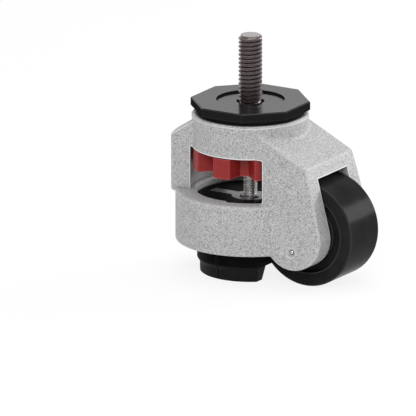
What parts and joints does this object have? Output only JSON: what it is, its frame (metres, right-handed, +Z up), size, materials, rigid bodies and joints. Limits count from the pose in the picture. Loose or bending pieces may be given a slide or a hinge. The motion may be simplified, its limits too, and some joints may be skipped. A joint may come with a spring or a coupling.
{
  "type": "levelling castor",
  "caption": "Stem-mounted swivel castor with a built-in screw-down levelling foot, a toothed adjusting wheel and a solid wheel in a cast fork housing.",
  "frame": {"origin": "on the swivel axis, in the plane of the octagonal plate's top face, where the machine frame seats", "axes": "+Z up along the threaded stud, +X from the swivel axis towards the castor wheel, +Y along the wheel's axle"},
  "size_m": [0.1237, 0.088, 0.1426],
  "materials": {
    "housing": "fine speckled silver-grey hammer coat",
    "black_metal": "semi-gloss black paint",
    "stud_steel": "dark brownish steel with a rolled thread",
    "black_plastic": "black moulded nylon",
    "bearing_steel": "ground bearing steel",
    "plain_steel": "bright zinc-plated steel",
    "red_plastic": "satin red nylon",
    "black_rubber": "black rubber",
    "wheel_plastic": "satin black nylon"
  },
  "bodies": {
    "housing_body": {"housing": "housing", "upper_race": "bearing_steel", "lower_race": "bearing_steel", "thrust_washer": "plain_steel", "neck_circlip": "plain_steel", "axle": "plain_steel", "bearing_inner_races": "bearing_steel", "bearing_spacer": "plain_steel", "side_spacers": "plain_steel", "keeper_pins": "plain_steel"},
    "swivel_head": {"top_plate": "black_metal", "threaded_stud": "stud_steel", "dust_seal": "black_plastic", "bearing_cone": "bearing_steel", "stud_circlip": "plain_steel"},
    "upper_ball_ring": {"upper_balls": "bearing_steel"},
    "lower_ball_ring": {"lower_balls": "bearing_steel"},
    "adjuster": {"adjusting_wheel": "red_plastic", "levelling_nut": "plain_steel"},
    "foot": {"foot_cup": "black_plastic", "foot_plate": "plain_steel", "foot_collar": "plain_steel", "levelling_screw": "plain_steel", "foot_pad": "black_rubber"},
    "castor_wheel": {"wheel": "wheel_plastic", "bearing_outer_races": "bearing_steel"},
    "wheel_ball_rings": {"bearing_balls": "bearing_steel"}
  },
  "joints": [
    {"name": "swivel", "type": "hinge", "parent": "housing_body", "child": "swivel_head", "pos_m": [0, 0, 0], "axis": [0, 0, 1], "continuous": true},
    {"name": "upper_balls_roll", "type": "hinge", "parent": "housing_body", "child": "upper_ball_ring", "pos_m": [0, 0, -0.0092], "axis": [0, 0, 1], "continuous": true},
    {"name": "lower_balls_roll", "type": "hinge", "parent": "housing_body", "child": "lower_ball_ring", "pos_m": [0, 0, -0.0189], "axis": [0, 0, 1], "continuous": true},
    {"name": "wheel_spin", "type": "hinge", "parent": "housing_body", "child": "castor_wheel", "pos_m": [0.047, 0, -0.0719], "axis": [0, 1, 0], "continuous": true},
    {"name": "wheel_balls_roll", "type": "hinge", "parent": "housing_body", "child": "wheel_ball_rings", "pos_m": [0.047, 0, -0.0719], "axis": [0, 1, 0], "continuous": true},
    {"name": "adjuster_spin", "type": "hinge", "parent": "housing_body", "child": "adjuster", "pos_m": [0, 0, -0.0347], "axis": [0, 0, 1], "range_deg": [-1200, 2160]},
    {"name": "foot_lift", "type": "slide", "parent": "housing_body", "child": "foot", "axis": [0, 0, 1], "range_m": [-0.00901, 0.00501]}
  ],
  "couplings": [
    {"joint": "upper_balls_roll", "follows": "swivel", "ratio": 0.5},
    {"joint": "lower_balls_roll", "follows": "swivel", "ratio": 0.5},
    {"joint": "wheel_balls_roll", "follows": "wheel_spin", "ratio": 0.615},
    {"joint": "foot_lift", "follows": "adjuster_spin", "m_per_rad": -0.00023873}
  ]
}
